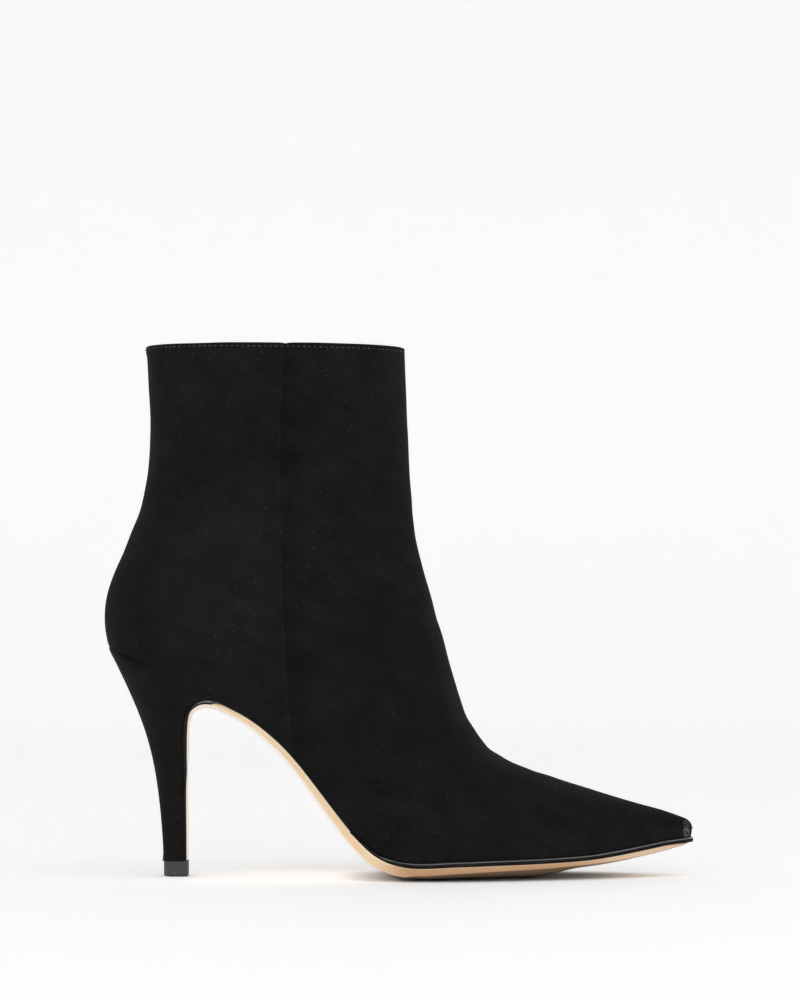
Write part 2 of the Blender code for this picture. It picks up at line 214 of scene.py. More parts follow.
def cells(place, size):
    """The distance from the middles of random cells, in parts of their size."""
    return place.node("ShaderNodeTexVoronoi", {}, {"Vector": place, "Scale": 1 / size}, "Distance")


def even(size):
    """The same size along X, Y and Z."""
    return (size, size, size)


sock_finish, sock_shader, place = new_finish("sock_leather", {"Specular IOR Level": 0.35})
sock_pores = cells(place, SOCK_PORE)
sock_wear = clouds(place, even(SOCK_PATCH), 4.0).rise(0.35, 0.75)
place.feed(sock_shader, {
    "Base Color": sock_wear.tint(SOCK_TAN, SOCK_WORN),
    "Roughness": 0.72 - 0.2 * sock_wear,
    "Normal": (sock_pores + 2.0 * clouds(place, even(SOCK_DENT))).relief(0.06 * MM),
})

board = solid_copy("insole")
round_edges(board, sharp_edges(board, SOCK_BEND), SOCK_EDGE)
divide(board, 1, let_out=0)
sock = add_piece("insole_sock", board, sock_finish)
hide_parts("insole")
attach(sock, "root")

# Upper
# A suede shell with a thin kid lining, lasted over the insole. Its front and back panels meet on
# each side in a fine closed seam, and the edge of the collar is folded in and stitched down.
MIDDLE_LINE = [(-47, 2, 210), (-50, 2, 115), (-38, 2, 84), (0, 2, 45), (40, 2, 24), (112, -1, 15)]
MIDDLE_STEPS = 30
# The order of the upper's finishes. The rim is marked only while the shell is shaped.
SUEDE = 0
LINING = 1
RIM = 2
COLLAR_BAND = 0.8 * MM
RIM_NEAR = 0.5 * MM
RIM_BEND = 50
COLLAR_ROUNDING = 0.8 * MM
COLLAR_SUPPORTS = (1.5 * MM, 3.5 * MM)
COLLAR_CUTS = (0.9 * MM, 1.5 * MM, 2.2 * MM, 2.8 * MM)
COLLAR_FOLD = 0.20 * MM
FOLD_DEPTH = 0.5 * MM
FOLD_WIDTH = 0.4 * MM
STITCH_DEPTH = 1.5 * MM
STITCH_GROOVE = 0.30 * MM
GROOVE_WIDTH = 0.35 * MM
COLLAR_NOTCH = 0.45 * MM
NOTCH_WIDTH = 0.8 * MM
NOTCH_REACH = 2 * MM
COLLAR_FLARE = 0.45 * MM
FLARE_DEPTH = 1.9 * MM
FLARE_WIDTH = 1.6 * MM
FLARE_BACK = (90 * MM, 100 * MM)
ANKLE_HEIGHT = 130 * MM
FEATHER_BEND = 40
TURN_UNDER = 0.20 * MM
TURN_UNDER_BACK = 0.42 * MM
TURN_BACK = (100 * MM, 112 * MM)
TURN_HEIGHT = 1.0 * MM
RELAX_TIMES = 6
RELAX_IN = 0.5
RELAX_OUT = -0.53

SeamPoint = namedtuple("SeamPoint", "height x")
SEAM = [
    SeamPoint(221, -46.9),
    SeamPoint(185, -48.3),
    SeamPoint(124, -48.3),
    SeamPoint(104, -46.4),
    SeamPoint(73, -45.2),
]
SEAM_CUTS = (-1.6, -0.9, -0.45, -0.2, 0.0, 0.2, 0.45, 0.9, 1.6)
SEAM_REACH = 4 * MM
SEAM_DEPTH = 0.42 * MM
SEAM_WIDTH = 0.34 * MM
SEAM_SIDEWAYS = (0.4, 0.9)
SEAM_SHOULDER = 0.10 * MM
SHOULDER_PLACE = 1.1 * MM
SHOULDER_WIDTH = 0.6 * MM
SEAM_SHARPEST = 113 * MM
SEAM_SOFTENS = 18 * MM

# A crease starts on the front or back line of the boot and runs along the side until it fades.
# The lean is its direction in the side view, in degrees up from the toe's side.
Crease = namedtuple("Crease", "x z lean half_width depth fade")
CREASES = [
    Crease(x=38, z=54, lean=214, half_width=3.0, depth=0.42, fade=24),
    Crease(x=29, z=68, lean=206, half_width=3.6, depth=0.30, fade=20),
    Crease(x=56, z=43, lean=224, half_width=3.2, depth=0.26, fade=20),
    Crease(x=13, z=108, lean=196, half_width=5.0, depth=0.30, fade=26),
    Crease(x=-107, z=136, lean=8, half_width=4.5, depth=0.28, fade=24),
    Crease(x=-107, z=152, lean=-4, half_width=5.5, depth=0.22, fade=20),
]
CREASE_RIDGE = 0.45
UNEVEN_SIZE = 16 * MM
UNEVEN_DEPTH = 0.16 * MM
UNEVEN_ABOVE = 2 * MM

shell = solid_copy("upper")
middle_marks = np.linspace(0, len(MIDDLE_LINE) - 1, MIDDLE_STEPS)
middle = [
    Vector([np.interp(mark, range(len(MIDDLE_LINE)), axis) * MM for axis in zip(*MIDDLE_LINE)])
    for mark in middle_marks
]
for face in shell.faces:
    centre = face.calc_center_median()
    nearest = min(middle, key=lambda point: (point - centre).length)
    face.material_index = SUEDE if face.normal.dot(centre - nearest) > 0 else LINING

# The collar lies in a plane that falls slightly to the front.
collar_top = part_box("upper")[1][2]
collar_rim = [vert.co for vert in shell.verts if vert.co.z > collar_top - COLLAR_BAND]
collar_fit = np.linalg.lstsq(
    [(point.x, point.y, 1) for point in collar_rim], [point.z for point in collar_rim], rcond=None
)[0]
collar_up = Vector((-collar_fit[0], -collar_fit[1], 1)).normalized()


def below_collar(point):
    """How far a point is under the plane of the collar."""
    return (collar_fit[0] * point[0] + collar_fit[1] * point[1] + collar_fit[2]) - point[2]


def cut_below_collar(depth):
    """Cuts the shell's faces along a line at a depth below the collar's edge."""
    everything = shell.verts[:] + shell.edges[:] + shell.faces[:]
    level = Vector((0, 0, collar_fit[2])) - collar_up * depth
    bmesh.ops.bisect_plane(shell, geom=everything, plane_co=level, plane_no=collar_up)


for depth in COLLAR_SUPPORTS:
    cut_below_collar(depth)
rim = [
    edge for edge in sharp_edges(shell, RIM_BEND)
    if all(abs(below_collar(vert.co)) < RIM_NEAR for vert in edge.verts)
]
round_edges(shell, rim, COLLAR_ROUNDING)

crease_layer = shell.edges.layers.float.new("crease_edge")
feather = set()
for edge in sharp_edges(shell, FEATHER_BEND):
    if max(vert.co.z for vert in edge.verts) < ANKLE_HEIGHT:
        edge[crease_layer] = 1.0
        feather.update(edge.verts)
for face in shell.faces:
    if feather.issuperset(face.verts):
        face.material_index = RIM
divide(shell, 1)

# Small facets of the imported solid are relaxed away; the folded and lasted edges are held.
crease_layer = shell.edges.layers.float["crease_edge"]
held = {vert for edge in shell.edges if edge[crease_layer] > 0 for vert in edge.verts}
free = [
    vert for vert in shell.verts
    if vert not in held and below_collar(vert.co) > COLLAR_SUPPORTS[1]
]
for _ in range(RELAX_TIMES):
    for factor in (RELAX_IN, RELAX_OUT):
        bmesh.ops.smooth_vert(
            shell, verts=free, factor=factor, use_axis_x=True, use_axis_y=True, use_axis_z=True
        )
divide(shell, 1)
for depth in COLLAR_CUTS:
    cut_below_collar(depth)

# The seam's line is straightened while the faces along it are cut.
seam_line = np.poly1d(np.polyfit(
    [point.height * MM for point in SEAM], [point.x * MM for point in SEAM], 3
))
for vert in shell.verts:
    vert.co.x -= seam_line(vert.co.z)
for offset in SEAM_CUTS:
    beside = [
        face for face in shell.faces
        if face.material_index == SUEDE
        and abs(face.calc_center_median().x) < SEAM_REACH
        and abs(face.normal.y) > SEAM_SIDEWAYS[0]
    ]
    edges = {edge for face in beside for edge in face.edges}
    verts = {vert for face in beside for vert in face.verts}
    bmesh.ops.bisect_plane(
        shell, geom=beside + list(edges) + list(verts),
        plane_co=(offset * MM, 0, 0), plane_no=(1, 0, 0),
    )
for vert in shell.verts:
    vert.co.x += seam_line(vert.co.z)

# Fold, seam, creases and unevenness, as small moves of the skin along its normals.
shell.normal_update()
points = np.array([vert.co for vert in shell.verts])
normals = np.zeros_like(points)
skin = np.zeros(len(points))
for index, vert in enumerate(shell.verts):
    outer = [face.normal for face in vert.link_faces if face.material_index == SUEDE]
    if outer and all(face.material_index != LINING for face in vert.link_faces):
        normals[index] = sum(outer, Vector()).normalized()
        skin[index] = 1
rim_faces = [face for face in shell.faces if face.material_index == RIM]
rim_tree = BVHTree.FromPolygons(
    [vert.co for face in rim_faces for vert in face.verts[:3]],
    [(3 * index, 3 * index + 1, 3 * index + 2) for index in range(len(rim_faces))],
)
above_rim = np.array([rim_tree.find_nearest(vert.co)[3] for vert in shell.verts])
for face in rim_faces:
    face.material_index = SUEDE


def hump(distance, width):
    """1 at no distance, falling softly to nothing over about twice a width."""
    return np.exp(-(distance / width) ** 2)


def ramp(value, low, high):
    """0 up to low and 1 from high, with a straight rise between."""
    return np.clip((value - low) / (high - low), 0, 1)


x, y, z = points.T
under = below_collar(points.T)
beside_seam = np.abs(x - seam_line(z))
sideways = ramp(np.abs(normals[:, 1]), *SEAM_SIDEWAYS)
seam_depth = SEAM_DEPTH * (0.5 + 0.5 * hump(z - SEAM_SHARPEST, SEAM_SOFTENS))
move = -seam_depth * hump(beside_seam, SEAM_WIDTH) * sideways
move += SEAM_SHOULDER * hump(beside_seam - SHOULDER_PLACE, SHOULDER_WIDTH) * sideways
move += COLLAR_FOLD * hump(under - FOLD_DEPTH, FOLD_WIDTH)
move -= STITCH_GROOVE * hump(under - STITCH_DEPTH, GROOVE_WIDTH)
move += COLLAR_FLARE * hump(under - FLARE_DEPTH, FLARE_WIDTH) * ramp(-x, *FLARE_BACK)
turned_under = TURN_UNDER + (TURN_UNDER_BACK - TURN_UNDER) * ramp(-x, *TURN_BACK)
move -= turned_under * hump(above_rim, TURN_HEIGHT)
for crease in CREASES:
    lean = math.radians(crease.lean)
    right = x - crease.x * MM
    up = z - crease.z * MM
    along = right * math.cos(lean) + up * math.sin(lean)
    across = up * math.cos(lean) - right * math.sin(lean)
    width = crease.half_width * MM
    profile = hump(across, width) - CREASE_RIDGE * hump(across - 2 * width, width)
    move -= crease.depth * MM * profile * hump(along, crease.fade * MM)
uneven = np.array([noise.noise(vert.co / UNEVEN_SIZE) for vert in shell.verts])
move += UNEVEN_DEPTH * uneven * (1 - hump(above_rim, UNEVEN_ABOVE))
moved = points + normals * (move * skin)[:, None]
notched = hump(beside_seam, NOTCH_WIDTH) * (1 - ramp(under, 0, NOTCH_REACH))
moved[:, 2] -= COLLAR_NOTCH * notched * (y < 0)
for vert, place_now in zip(shell.verts, moved):
    vert.co = place_now

SUEDE_BLACK = (0.0038, 0.0038, 0.0038, 1)
SUEDE_BRUSHED = (0.0170, 0.0170, 0.0170, 1)
SUEDE_BLUISH = (0.0175, 0.0175, 0.0202, 1)
SUEDE_LINT = (0.100, 0.100, 0.100, 1)
SUEDE_PRESSED_HIGHLIGHT = (0.160, 0.160, 0.155, 1)
NAP_SIZE = 0.5 * MM
COMB_LEAN = math.radians(-28)
COMB_STROKE = (3.5 * MM, 3 * MM, 0.9 * MM)
COMB_PATCH = (14 * MM, 9 * MM, 8 * MM)
CROSS_STROKE = (2.5 * MM, 2 * MM, 0.8 * MM)
SHADING_SIZE = 38 * MM
SPECK_SPACE = 4.4 * MM
HAIR_SPACE = 2.4 * MM
HAIR_LEAN = math.radians(35)
HAIR_STRETCH = (0.3, 1.0, 1.0)
# Where the pressed toe and its painted highlight, the seam's painted highlight and painted shade,
# and the bluish shading start and end.
NOSE_STARTS = (118.9 * MM, 119.5 * MM)
NOSE_ENDS = (121.3 * MM, 122.1 * MM)
NOSE_TOP = (20 * MM, 25 * MM)
NOSE_WRINKLE = (0.8 * MM, 0.8 * MM, 1.8 * MM)
SEAM_HIGHLIGHT_STARTS = (-1.9 * MM, -0.9 * MM)
SEAM_HIGHLIGHT_ENDS = (-0.7 * MM, -0.3 * MM)
SHADE_STARTS = (-0.5 * MM, 0.2 * MM)
SHADE_ENDS = (0.5 * MM, 13 * MM)
BLUISH_STARTS = (-112 * MM, -95 * MM)
BLUISH_ENDS = (-62 * MM, -44 * MM)
BLUISH_BOTTOM = (88 * MM, 104 * MM)
BLUISH_TOP = (140 * MM, 176 * MM)
suede, suede_shader, place = new_finish("black_suede", {
    "Specular IOR Level": 0.05,
    "Sheen Weight": 0.05,
    "Sheen Roughness": 0.25,
})


def turned(place, lean):
    """The place turned about the Y axis, for marks that run at a slant along the boot's sides."""
    settings = {"rotation_type": "Y_AXIS"}
    return place.node("ShaderNodeVectorRotate", settings, {"Vector": place, "Angle": lean})


nap = clouds(place, even(NAP_SIZE), 2.0).rise(0.25, 0.75)
combed = clouds(turned(place, COMB_LEAN), COMB_STROKE, 3.0).rise(0.3, 0.7)
crossed = clouds(turned(place, HAIR_LEAN), CROSS_STROKE, 3.0).rise(0.3, 0.7)
patches = clouds(turned(place, COMB_LEAN), COMB_PATCH, 4.0).rise(0.3, 0.7)
strokes = patches * combed + (1 - patches) * crossed
shading = clouds(place, even(SHADING_SIZE), 2.0).rise(0.3, 0.7)
specks = 1 - cells(place, SPECK_SPACE).rise(0.03, 0.08)
hair_place = place.node(
    "ShaderNodeVectorMath", {"operation": "MULTIPLY"},
    {0: turned(place, HAIR_LEAN), 1: HAIR_STRETCH},
)
hairs = 1 - cells(hair_place, HAIR_SPACE).rise(0.03, 0.09)
lint = (0.75 * specks + 0.35 * hairs) * (0.4 + 0.6 * shading)
to_toe = place.node("ShaderNodeSeparateXYZ", {}, {0: place}, "X")
height = place.node("ShaderNodeSeparateXYZ", {}, {0: place}, "Z")
nose = to_toe.rise(*NOSE_STARTS) * (1 - to_toe.rise(*NOSE_ENDS))
nose = nose * (1 - height.rise(*NOSE_TOP))
wrinkles = clouds(place, NOSE_WRINKLE, 3.0)
pressed_and_highlight = nose * wrinkles.rise(0.38, 0.60)
c3, c2, c1, c0 = (float(part) for part in seam_line.coefficients)
past_seam = to_toe - (((c3 * height + c2) * height + c1) * height + c0)
seam_highlight = past_seam.rise(*SEAM_HIGHLIGHT_STARTS) * (1 - past_seam.rise(*SEAM_HIGHLIGHT_ENDS))
seam_shade = past_seam.rise(*SHADE_STARTS) * (1 - past_seam.rise(*SHADE_ENDS))
bluish = to_toe.rise(*BLUISH_STARTS) * (1 - to_toe.rise(*BLUISH_ENDS))
bluish = bluish * height.rise(*BLUISH_BOTTOM) * (1 - height.rise(*BLUISH_TOP))
brushed = 0.38 * nap + 0.18 * strokes + 0.25 * patches + 0.19 * shading + 0.13 * bluish
# Beside the seam the back panel's shoulder, just behind it, is lightened as a painted highlight,
# and the front panel's edge ahead of it is darkened as painted shade.
brushed = brushed + 0.16 * seam_highlight - 0.11 * seam_shade
suede_brushed = (bluish * patches).tint(SUEDE_BRUSHED, SUEDE_BLUISH)
suede_colour = brushed.tint(SUEDE_BLACK, suede_brushed)
# At the toe's corner the nap is pressed flat and glossier, and its pale grey colour there is a
# painted highlight.
suede_colour = (0.8 * pressed_and_highlight).tint(suede_colour, SUEDE_PRESSED_HIGHLIGHT)
suede_colour = lint.tint(suede_colour, SUEDE_LINT)
place.feed(suede_shader, {
    "Base Color": suede_colour,
    "Roughness": 0.95 - 0.4 * pressed_and_highlight,
    "Normal": (nap + 0.5 * strokes).relief(0.2 * MM),
})

LINING_PORE = 0.9 * MM
LINING_DENT = 6 * MM
LINING_PATCH = 18 * MM
LINING_TAN = (0.50, 0.38, 0.26, 1)
LINING_RUBBED = (0.40, 0.29, 0.19, 1)
lining, lining_shader, place = new_finish("kid_lining", {"Specular IOR Level": 0.35})
lining_grain = cells(place, LINING_PORE)
lining_wear = clouds(place, even(LINING_PATCH), 4.0).rise(0.35, 0.7)
place.feed(lining_shader, {
    "Base Color": lining_wear.tint(LINING_TAN, LINING_RUBBED),
    "Roughness": 0.66 - 0.16 * lining_wear,
    "Normal": (lining_grain + 3.0 * clouds(place, even(LINING_DENT))).relief(0.07 * MM),
})
upper = add_piece("suede_upper", shell, suede, lining)
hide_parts("upper")
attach(upper, "root")

# Collar stitches
# A row of short lockstitches in grey thread runs round the collar just under its folded edge. It
# goes through suede and lining, so it shows on both sides.
STITCH_PITCH = 2.3 * MM
STITCH_LENGTH = 1.25 * MM
STITCH_WIDTH = 0.62 * MM
STITCH_HEIGHT = 0.42 * MM
STITCH_STANDS = 0.3 * STITCH_HEIGHT
STITCH_SLANT = math.radians(5)
STITCH_SIDES = 8
STITCH_RINGS = 6
ROUND_STEPS = 720
OUTSIDE = 150 * MM
THREAD_TWIST = 0.16 * MM
THREAD_PATCH = 2.5 * MM
THREAD_GREY = (0.030, 0.030, 0.030, 1)
THREAD_PALE = (0.078, 0.076, 0.070, 1)

upper_tree = BVHTree.FromPolygons(
    [vert.co for vert in upper.data.vertices], [face.vertices for face in upper.data.polygons]
)
collar_middle = Vector(moved[under < COLLAR_BAND].mean(axis=0))


def stitch_line(from_outside):
    """Points and normals round the collar at the stitches' depth, on the skin or the lining."""
    line = []
    for step in range(ROUND_STEPS):
        turn = 2 * math.pi * step / ROUND_STEPS
        outwards = Vector((math.cos(turn), math.sin(turn), 0))
        start = collar_middle + outwards * (OUTSIDE if from_outside else 0)
        start.z += below_collar(start) - STITCH_DEPTH
        hit = upper_tree.ray_cast(start, -outwards if from_outside else outwards)
        line.append((hit[0], hit[1]))
    return line


def sew(shape, line):
    """Adds a row of stitches along a closed line of points and normals."""
    spots = [spot for spot, _ in line]
    lengths = [(spots[i] - spots[i - 1]).length for i in range(len(spots))]
    travelled = np.cumsum(lengths)
    count = round(travelled[-1] / STITCH_PITCH)
    for number in range(count):
        index = int(np.searchsorted(travelled, travelled[-1] * (number + 0.5) / count))
        spot, out = line[index]
        ahead = (spots[(index + 2) % len(spots)] - spots[index - 2]).normalized()
        ahead = Matrix.Rotation(STITCH_SLANT, 3, out) @ ahead
        across = out.cross(ahead).normalized()
        laid = Matrix((out, across, ahead)).transposed().to_4x4()
        sized = Matrix.Diagonal((STITCH_HEIGHT, STITCH_WIDTH, STITCH_LENGTH, 1))
        bmesh.ops.create_uvsphere(
            shape, u_segments=STITCH_SIDES, v_segments=STITCH_RINGS, radius=0.5,
            matrix=Matrix.Translation(spot + out * STITCH_STANDS) @ laid @ sized,
        )


thread, thread_shader, place = new_finish("grey_thread", {"Specular IOR Level": 0.3})
thread_tone = clouds(place, even(THREAD_PATCH), 1.0).rise(0.35, 0.65)
thread_twist = clouds(place, even(THREAD_TWIST), 1.0)
place.feed(thread_shader, {
    "Base Color": thread_tone.tint(THREAD_GREY, THREAD_PALE),
    "Roughness": 0.85 - 0.2 * thread_twist,
    "Normal": thread_twist.relief(0.05 * MM),
})
row = bmesh.new()
sew(row, stitch_line(True))
sew(row, stitch_line(False))
stitches = add_piece("collar_stitches", row, thread)
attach(stitches, "root")

# Welt
# A narrow strip of black leather along the lasted edge of the forefoot, glued between upper and
# sole, with its edge waxed and ironed to a hard gloss.
WELT_BLACK = (0.006, 0.006, 0.006, 1)
WELT_RUBBED = (0.018, 0.017, 0.016, 1)
WELT_BEND = 45
WELT_EDGE = 0.5 * MM
WAX_STREAK = (9 * MM, 2 * MM, 0.35 * MM)
WAX_PATCH = 5 * MM
IRONED_FROM = (0.25, 0.45)
IRONED_TO = (0.88, 0.98)
waxed, waxed_shader, place = new_finish("waxed_edge", {
    "Specular IOR Level": 0.15,
    "Coat Roughness": 0.06,
    "Coat IOR": 4.0,
})
wax_streaks = clouds(place, WAX_STREAK, 3.0)
wax_wear = clouds(place, even(WAX_PATCH), 3.0).rise(0.5, 0.75)
welt_out = place.node("ShaderNodeNewGeometry", {}, {}, "Normal")
welt_up = place.node("ShaderNodeSeparateXYZ", {}, {0: welt_out}, "Z")
ironed = welt_up.rise(*IRONED_FROM) * (1 - welt_up.rise(*IRONED_TO))
place.feed(waxed_shader, {
    "Base Color": wax_wear.tint(WELT_BLACK, WELT_RUBBED),
    "Roughness": 0.62 - 0.30 * ironed + 0.15 * wax_streaks,
    "Coat Weight": ironed * (0.9 - 0.4 * wax_wear),
    "Normal": wax_streaks.relief(0.04 * MM),
})
SEAT_GAP = 0.27 * MM
WELT_SUNK = 0.40 * MM
LOOKS_ALONG = 0.6


def reach_out(shape, way, distance, ahead_of=-math.inf):
    """Moves the faces that look some way along their normals, up to the neighbouring piece."""
    shape.normal_update()
    moves = {}
    for face in shape.faces:
        if face.normal.dot(way) > LOOKS_ALONG and face.calc_center_median().x > ahead_of:
            for vert in face.verts:
                moves[vert] = face.normal * distance
    for vert, move in moves.items():
        vert.co += move
    shape.normal_update()


strip = solid_copy("welt")
reach_out(strip, Vector((0, 0, 1)), SEAT_GAP)
reach_out(strip, Vector((0, 0, -1)), WELT_SUNK)
round_edges(strip, sharp_edges(strip, WELT_BEND), WELT_EDGE)
divide(strip, 2)
welt = add_piece("waxed_welt", strip, waxed)
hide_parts("welt")
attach(welt, "root")

# Outsole
# One thin piece of sole leather from the toe to the heel, where it turns down as a flap on the
# front of the heel. Its edge is trimmed, burnished at the forefoot and painted black along the
# flap, and its underside is buffed pale at the waist, a pale that is partly painted light bounced
# up from the floor. Its colour also holds a painted highlight along the top of the edge, a painted
# glint on the black paint at the arch, and painted shade where the forefoot faces down.
SOLE_TAN = (0.92, 0.65, 0.40, 1)
SOLE_PALE = (0.95, 0.71, 0.45, 1)
SOLE_BURNISHED = (0.47, 0.235, 0.105, 1)
SOLE_TOE = (0.75, 0.545, 0.39, 1)
SOLE_TREAD_SHADE = (0.10, 0.055, 0.032, 1)
SOLE_PAINT = (0.006, 0.005, 0.005, 1)
PAINT_GLINT = (0.27, 0.265, 0.27, 1)
SOLE_TOP_HIGHLIGHT = (1.00, 0.81, 0.59, 1)
SOLE_BUFFED_FLOOR_LIT = (0.97, 0.86, 0.77, 1)
SOLE_BEND = 40
SOLE_EDGE = 0.2 * MM
SOLE_FIBRE = (0.5 * MM, 0.5 * MM, 0.25 * MM)
SOLE_LAYER = (22 * MM, 4 * MM, 0.9 * MM)
HIDE_PATCH = 9 * MM
# Half way between the ways that the tread and the front of the flap look.
SOLE_DOWN = Vector((1, 0, -1)).normalized()
TOP_LOOKS = 0.35
EDGE_LOOKS = (0.35, 0.6)
TREAD_LOOKS = (0.42, 0.62)
WAIST_ENDS = (-12 * MM, 6 * MM)
TOE_STARTS = (70 * MM, 105 * MM)
TOP_LINE_DEPTH = (0.7 * MM, 1.2 * MM)
FLAP_ENDS = -74.5 * MM
PAINT_ENDS = -63.5 * MM
PAINT_FADE = 2.0 * MM
PAINT_SLANT = 4.0
PAINT_SKEW = -0.3
GLINT_STARTS = -87 * MM
ARCH_TOP = -80 * MM
FLAP_TOP = 68 * MM
FLAP_TWIST = 0.03
ASIDE = 0.3
EDGE_LET_OUT = 0.4 * MM
EDGE_AT = (-76, -66, -2, 8)
EDGE_SHARE = (0, 1, 1, 0)
THINS = (92 * MM, 122 * MM)
TOE_THINNED = 0.6 * MM
TOP_DEPTH = "below_top"
WELT_TAPER = 3 * MM
sole_leather, sole_shader, place = new_finish("sole_leather", {
    "Specular IOR Level": 0.20,
    "Coat Roughness": 0.25,
})
sole_along = place.node("ShaderNodeSeparateXYZ", {}, {0: place}, "X")
sole_side = place.node("ShaderNodeSeparateXYZ", {}, {0: place}, "Y")
sole_out = place.node("ShaderNodeNewGeometry", {}, {}, "Normal")
sole_across = place.node("ShaderNodeSeparateXYZ", {}, {0: sole_out}, "Y")
edge_face = place.sum("ABSOLUTE", sole_across, 0.0).rise(*EDGE_LOOKS)
sole_under = place.node(
    "ShaderNodeVectorMath", {"operation": "DOT_PRODUCT"}, {0: sole_out, 1: SOLE_DOWN}, "Value"
)
waist = 1 - sole_along.rise(*WAIST_ENDS)
fibres = clouds(place, SOLE_FIBRE, 3.0)
hide = clouds(place, even(HIDE_PATCH), 4.0).rise(0.3, 0.7)
layers = clouds(place, SOLE_LAYER, 2.0)
below_top = place.node("ShaderNodeAttribute", {"attribute_name": TOP_DEPTH}, {}, "Fac")
top_line = 1 - below_top.rise(*TOP_LINE_DEPTH)
painted = place.sum("MAXIMUM", edge_face, top_line)
paint_line = sole_along + PAINT_SLANT * below_top + PAINT_SKEW * sole_side
painted = painted * (1 - paint_line.rise(PAINT_ENDS - PAINT_FADE, PAINT_ENDS))
glint = top_line * sole_along.rise(GLINT_STARTS, ARCH_TOP)
buffed_and_floor_lit = waist * (1 - edge_face)
toe_end = sole_along.rise(*TOE_STARTS)
sole_colour = hide.tint(SOLE_PALE, SOLE_TAN)
trimmed = edge_face * (1 - waist) * (1 - 0.75 * toe_end)
sole_colour = (0.7 * trimmed + 0.2 * trimmed * layers).tint(sole_colour, SOLE_BURNISHED)
sole_colour = (0.85 * toe_end * edge_face).tint(sole_colour, SOLE_TOE)
# Painted shade: the forefoot's faces that look down, the tread and the lower rounding of its edge,
# are darkened as if in shadow under the sole.
tread_under_shade = (1 - waist) * sole_under.rise(*TREAD_LOOKS)
sole_colour = (0.9 * tread_under_shade * (1 - 0.7 * toe_end)).tint(sole_colour, SOLE_TREAD_SHADE)
# The waist's underside is buffed and glossier, and its pale colour is partly painted light bounced
# up from the floor.
sole_colour = (0.85 * buffed_and_floor_lit).tint(sole_colour, SOLE_BUFFED_FLOOR_LIT)
# Painted highlight: a pale line along the top of the edge, strongest at the waist, where the edge's
# top rounding catches the light from above.
sole_colour = (top_line * (0.25 + 0.6 * waist)).tint(sole_colour, SOLE_TOP_HIGHLIGHT)
sole_colour = painted.tint(sole_colour, glint.tint(SOLE_PAINT, PAINT_GLINT))
place.feed(sole_shader, {
    "Base Color": sole_colour,
    "Roughness": 0.55 - 0.15 * edge_face + 0.1 * fibres,
    "Coat Weight": 0.3 * edge_face * (1 - painted) + 0.5 * buffed_and_floor_lit,
    "Normal": (fibres + layers).relief(0.05 * MM),
})


def facing(edge, way):
    """How far the faces of an edge look some way together."""
    return sum(face.normal.dot(way) for face in edge.link_faces)


leather = solid_copy("outsole")
reach_out(leather, -SOLE_DOWN, SEAT_GAP)
reach_out(leather, -SOLE_DOWN, -WELT_SUNK, ahead_of=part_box("welt")[0][0] + WELT_TAPER)
pieces_above = bmesh.new()
for node in ("upper", "welt", "heel"):
    pieces_above.from_mesh(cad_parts[node].data)
above_tree = BVHTree.FromBMesh(pieces_above)
pieces_above.free()
for vert in leather.verts:
    on_flap = vert.co.x < FLAP_ENDS and vert.co.z < FLAP_TOP
    if on_flap and vert.normal.dot(SOLE_DOWN) > LOOKS_ALONG:
        vert.co.x -= FLAP_TWIST * vert.co.y
    if abs(vert.normal.y) > ASIDE:
        share = np.interp(vert.co.x / MM, EDGE_AT, EDGE_SHARE)
        vert.co.y += math.copysign(EDGE_LET_OUT * share, vert.normal.y)
    if vert.normal.z < 0:
        vert.co.z += TOE_THINNED * ramp(vert.co.x, *THINS)
leather.normal_update()
top_edges = [
    edge for edge in sharp_edges(leather, SOLE_BEND) if facing(edge, SOLE_DOWN) < TOP_LOOKS
]
round_edges(leather, top_edges, SOLE_EDGE)
divide(leather, 2)
depth_layer = leather.verts.layers.float.new(TOP_DEPTH)
for vert in leather.verts:
    vert[depth_layer] = above_tree.find_nearest(vert.co)[3]
outsole = add_piece("leather_outsole", leather, sole_leather)
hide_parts("outsole")
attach(outsole, "root")

# Heel
# A slender moulded heel, screwed on from inside and covered with the suede of the upper, which is
# folded over its rims.
HEEL_BEND = 40
HEEL_EDGE = 0.5 * MM
SEAT_LOOKS = 0.8
SEAT_RIM_LOOKS = 0.5
RIM_LET_OUT = 0.35 * MM
RIM_FADE = 2.5 * MM
RIM_BACK = (82 * MM, 92 * MM)
block = solid_copy("heel")
seat_faces = [face for face in block.faces if face.normal.z > SEAT_LOOKS]
seat_up = sum((face.normal * face.calc_area() for face in seat_faces), Vector()).normalized()
reach_out(block, seat_up, SEAT_GAP)
seat_level = max(vert.co.dot(seat_up) for vert in block.verts)
crease_layer = block.edges.layers.float.new("crease_edge")
softer = []
for edge in sharp_edges(block, HEEL_BEND):
    if facing(edge, seat_up) > SEAT_RIM_LOOKS:
        edge[crease_layer] = 1.0
    else:
        softer.append(edge)
round_edges(block, softer, HEEL_EDGE)
divide(block, 2)
block.normal_update()
for vert in block.verts:
    aside = Vector((vert.normal.x, vert.normal.y, 0))
    below = seat_level - vert.co.dot(seat_up)
    share = hump(below, RIM_FADE) * ramp(-vert.co.x, *RIM_BACK)
    if aside.length > ASIDE:
        vert.co += aside.normalized() * float(RIM_LET_OUT * share)
heel = add_piece("covered_heel", block, suede)
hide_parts("heel")
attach(heel, "root")

